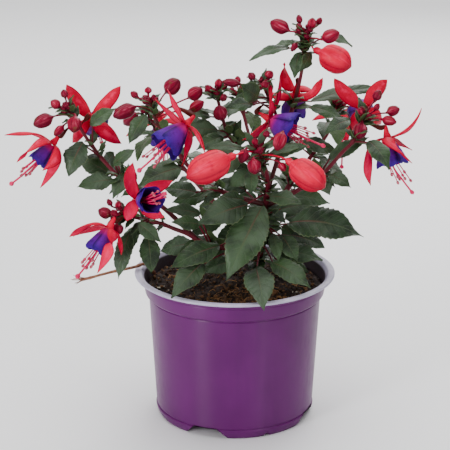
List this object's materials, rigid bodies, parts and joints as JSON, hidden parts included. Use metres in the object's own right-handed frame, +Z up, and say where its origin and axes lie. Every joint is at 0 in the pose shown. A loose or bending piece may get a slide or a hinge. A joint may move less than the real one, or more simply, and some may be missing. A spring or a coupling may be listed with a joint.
{
  "type": "potted fuchsia",
  "caption": "Bushy flowering fuchsia with toothed leaves, closed buds and hanging red and purple blooms, standing in a thin round plastic nursery pot of compost.",
  "frame": {"origin": "centre of the pot's underside, on the flat pad that the pot stands on", "axes": "+Z up, +X to the picture's right, -Y towards the picture's viewer"},
  "size_m": [0.2406, 0.1787, 0.2421],
  "materials": {
    "pot": "satin",
    "compost": "matte, crumbly",
    "dry_wood": "matte, fibrous",
    "foliage": "satin",
    "bud": "satin",
    "sepal": "waxy satin",
    "corolla": "velvety",
    "stamen": "satin"
  },
  "bodies": {
    "root": {"pot": "pot", "soil": "compost", "dry_twig": "dry_wood", "shoot_main": "foliage", "buds_main": "bud", "shoot_top": "foliage", "buds_top": "bud", "shoot_right": "foliage", "buds_right": "bud", "shoot_low": "foliage", "buds_low": "bud", "shoot_left": "foliage", "buds_left": "bud", "shoot_upleft": "foliage", "buds_upleft": "bud", "shoot_mid": "foliage", "buds_mid": "bud", "shoot_upper": "foliage", "buds_upper": "bud", "shoot_backLeft": "foliage", "buds_backLeft": "bud", "shoot_backRight": "foliage", "buds_backRight": "bud", "shoot_backMid": "foliage", "buds_backMid": "bud", "bloom_1_calyx": "sepal", "bloom_1_corolla": "corolla", "bloom_1_stamens": "stamen", "bloom_2_calyx": "sepal", "bloom_2_corolla": "corolla", "bloom_2_stamens": "stamen", "bloom_3_calyx": "sepal", "bloom_3_corolla": "corolla", "bloom_3_stamens": "stamen", "bloom_4_calyx": "sepal", "bloom_4_corolla": "corolla", "bloom_4_stamens": "stamen", "bloom_5_calyx": "sepal", "bloom_5_corolla": "corolla", "bloom_5_stamens": "stamen", "bloom_6_calyx": "sepal", "bloom_6_corolla": "corolla", "bloom_6_stamens": "stamen", "bloom_7_calyx": "sepal", "bloom_7_corolla": "corolla", "bloom_7_stamens": "stamen", "bloom_8_calyx": "sepal", "bloom_8_corolla": "corolla", "bloom_8_stamens": "stamen", "bloom_9_calyx": "sepal", "bloom_9_corolla": "corolla", "bloom_9_stamens": "stamen", "bloom_10_calyx": "sepal", "bloom_10_corolla": "corolla", "bloom_10_stamens": "stamen", "bloom_11_calyx": "sepal", "bloom_11_corolla": "corolla", "bloom_11_stamens": "stamen"}
  },
  "joints": []
}
